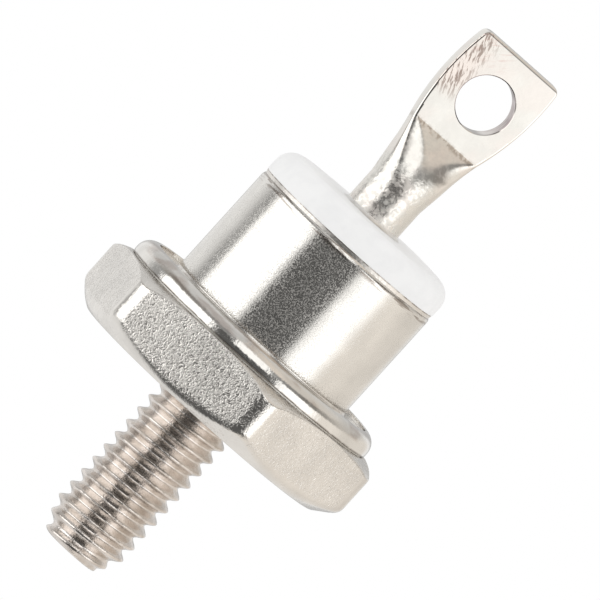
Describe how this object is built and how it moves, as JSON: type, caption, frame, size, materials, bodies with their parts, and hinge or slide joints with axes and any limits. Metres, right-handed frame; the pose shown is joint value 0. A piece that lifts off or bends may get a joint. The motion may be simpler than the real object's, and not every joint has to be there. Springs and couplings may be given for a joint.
{
  "type": "stud mount diode",
  "caption": "Rectifier diode in a sealed metal can on a hexagonal base with a threaded stud, with a ceramic top and a flattened tube terminal with a hole.",
  "frame": {"origin": "centre of the hexagon's seating face, on the stud's axis", "axes": "+Z along the stud's axis towards the terminal; the terminal's flat faces look along -Y and +Y, and so does one pair of the hexagon's corners"},
  "size_m": [0.019, 0.0216, 0.04],
  "materials": {
    "nickel_base": "nickel plate over a tumbled copper forging, grainy on the flats",
    "nickel_ring": "bright nickel plate",
    "nickel_shell": "bright nickel plate with a fine upright grain",
    "white_ceramic": "smooth white alumina",
    "nickel_terminal": "bright nickel plate over copper, with fine scratches",
    "braze": "dull silver braze",
    "solder": "dull grey solder",
    "molybdenum": "satin grey metal",
    "silicon": "polished dark grey",
    "silicone": "milky silicone rubber",
    "bare_copper": "bare copper"
  },
  "bodies": {
    "root": {"stud_base": "nickel_base", "weld_ring": "nickel_ring", "shell": "nickel_shell", "insulator": "white_ceramic", "terminal_lug": "nickel_terminal", "terminal_seal": "braze", "ring_braze": "braze", "insulator_braze": "braze", "base_solder": "solder", "base_disc": "molybdenum", "die_bond": "solder", "silicon_die": "silicon", "junction_coating": "silicone", "die_solder": "solder", "top_disc": "molybdenum", "lead_solder": "solder", "contact_lead": "bare_copper"}
  },
  "joints": []
}
